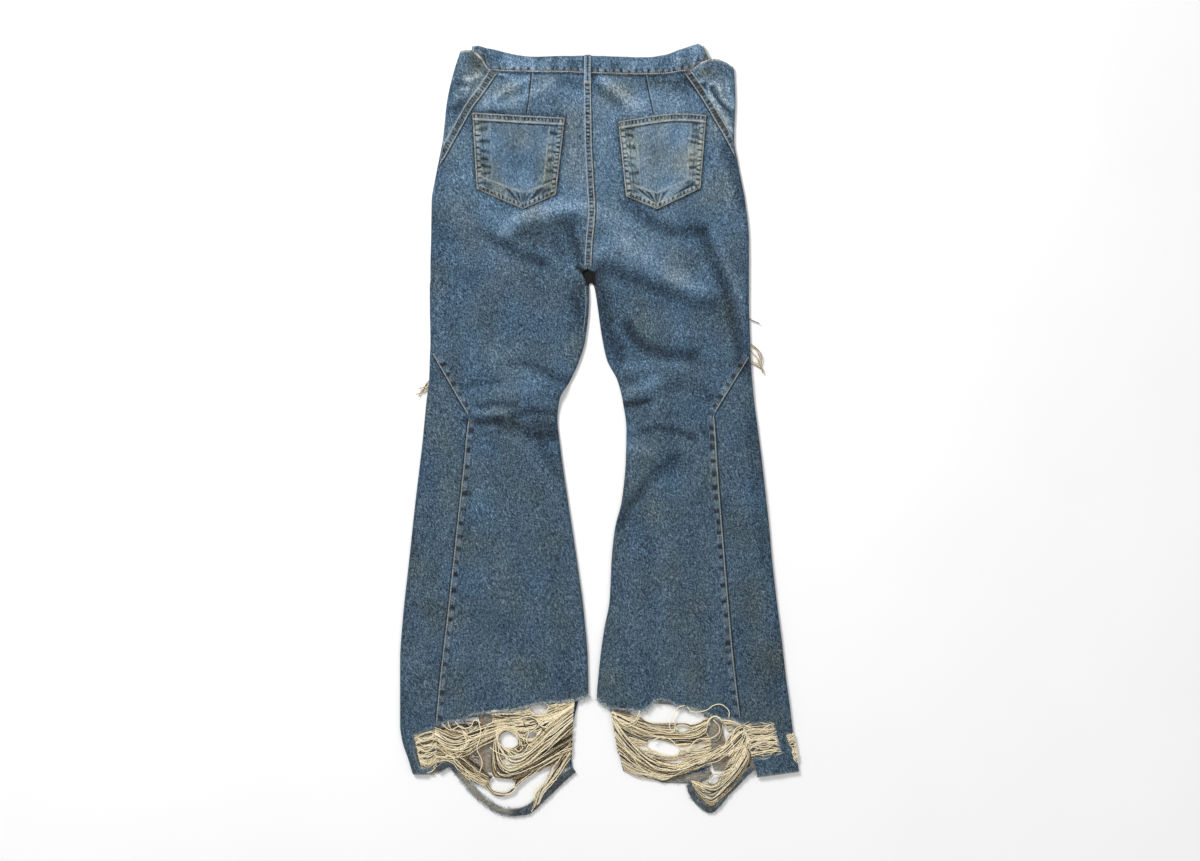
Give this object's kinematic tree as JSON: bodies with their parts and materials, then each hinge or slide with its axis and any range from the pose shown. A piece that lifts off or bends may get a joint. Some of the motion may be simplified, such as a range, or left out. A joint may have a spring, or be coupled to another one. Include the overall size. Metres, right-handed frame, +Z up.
{
  "type": "jeans",
  "caption": "Faded blue bootcut jeans laid flat, back side up, with patch pockets, wrapped side seams and torn, fringed hems.",
  "frame": {"origin": "middle of the outline, on the surface that the jeans lie on", "axes": "+Y towards the waist, +X towards the wearer's right, +Z up, out of the back of the jeans"},
  "size_m": [0.6186, 1.1967, 0.0111],
  "materials": {
    "denim": "faded blue denim",
    "pocket_denim": "pale worn denim",
    "yarn": "bare cream cotton yarn",
    "button_metal": "worn copper colour"
  },
  "bodies": {
    "root": {"back_left": "denim", "back_right": "denim", "front_left": "denim", "front_right": "denim", "pocket_left": "pocket_denim", "pocket_right": "pocket_denim", "waistband": "denim", "belt_loop_back": "denim", "belt_loop_left": "denim", "belt_loop_right": "denim", "button": "button_metal", "fly_facing": "denim", "yarns_left_side": "yarn", "yarns_left_back": "yarn", "yarns_left_front_outer": "yarn", "yarns_left_front_inner": "yarn", "yarns_right_side": "yarn", "yarns_right_back": "yarn", "yarns_right_front": "yarn", "hem_tape_left": "denim", "hem_tape_right": "denim", "front_hem_right": "denim", "knee_threads_left": "yarn", "knee_threads_right": "yarn"}
  },
  "joints": []
}
